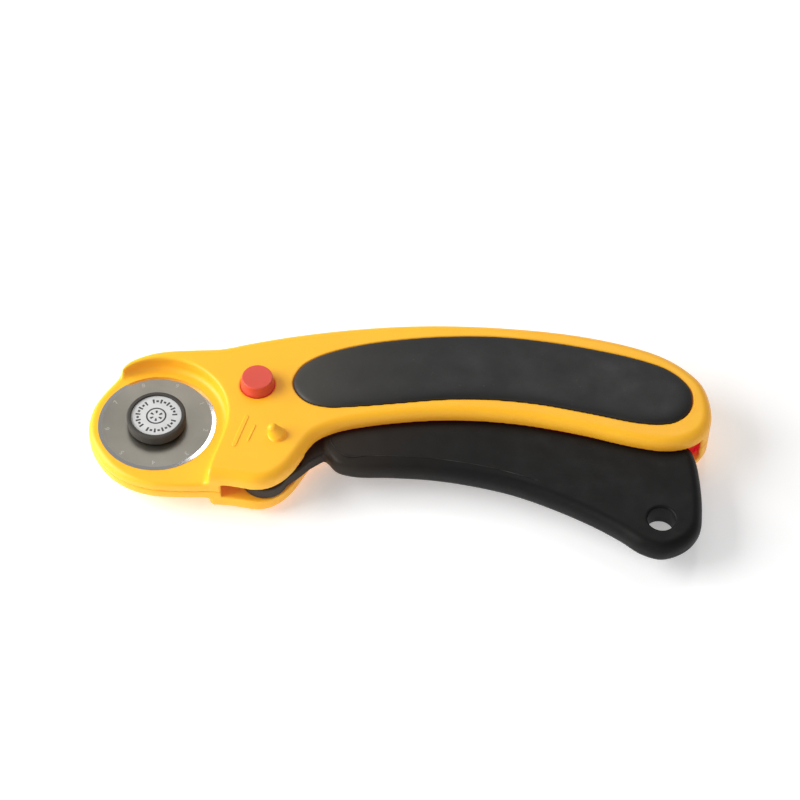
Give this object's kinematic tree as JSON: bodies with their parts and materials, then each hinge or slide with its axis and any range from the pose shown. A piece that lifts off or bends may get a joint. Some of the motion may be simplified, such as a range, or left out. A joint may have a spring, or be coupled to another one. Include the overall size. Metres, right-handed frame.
{
  "type": "rotary cutter",
  "caption": "Handheld rotary fabric cutter: round steel blade on a squeeze lever between two plastic handle shells, with soft grips and a push-through safety lock.",
  "frame": {"origin": "under the middle of the outline, on the surface that the cutter lies on; the blade's axis stands at x -93 mm, y 4 mm, and the seam between the shells is at z 12.3 mm", "axes": "+X along the handle, from the blade to the tail; +Y towards the handle's back, away from the trigger; +Z out of the front, the blade's side"},
  "size_m": [0.2382, 0.1027, 0.028],
  "materials": {
    "shell_plastic": "satin injection-moulded ABS, yellow",
    "grip_rubber": "soft charcoal elastomer, satin",
    "lever_plastic": "matte black glass-filled nylon",
    "blade_steel": "ground tungsten tool steel with a polished bevel",
    "fastener_steel": "zinc-plated steel",
    "spring_steel": "drawn spring wire",
    "cap_plastic": "dark grey plastic, fine satin",
    "label_film": "light grey printed film",
    "brass_insert": "turned brass",
    "button_plastic": "satin red plastic"
  },
  "bodies": {
    "handle": {"front_shell": "shell_plastic", "back_shell": "shell_plastic", "front_grip": "grip_rubber", "back_grip": "grip_rubber", "pivot_pin": "fastener_steel", "return_spring": "spring_steel", "lock_clip": "spring_steel", "shell_screw_1": "fastener_steel", "shell_screw_2": "fastener_steel", "shell_screw_3": "fastener_steel", "shell_screw_4": "fastener_steel"},
    "trigger": {"trigger_lever": "lever_plastic", "blade_bolt": "fastener_steel", "bolt_cap": "cap_plastic", "cap_label": "label_film", "spring_washer": "spring_steel", "blade_nut": "cap_plastic", "nut_insert": "brass_insert"},
    "blade": {"blade": "blade_steel"},
    "lock": {"lock_button": "button_plastic", "lock_button_end": "button_plastic"}
  },
  "joints": [
    {"name": "trigger_squeeze", "type": "hinge", "parent": "handle", "child": "trigger", "pos_m": [-0.051, -0.017, 0.0123], "axis": [0, 0, 1], "range_deg": [0, 12], "stiffness_Nm_per_rad": 0.8, "springref_deg": -8.59},
    {"name": "blade_spin", "type": "hinge", "parent": "trigger", "child": "blade", "pos_m": [-0.093, 0.004, 0.01685], "axis": [0, 0, 1], "continuous": true},
    {"name": "lock_slide", "type": "slide", "parent": "handle", "child": "lock", "axis": [0, 0, -1], "range_m": [0, 0.0045]}
  ]
}
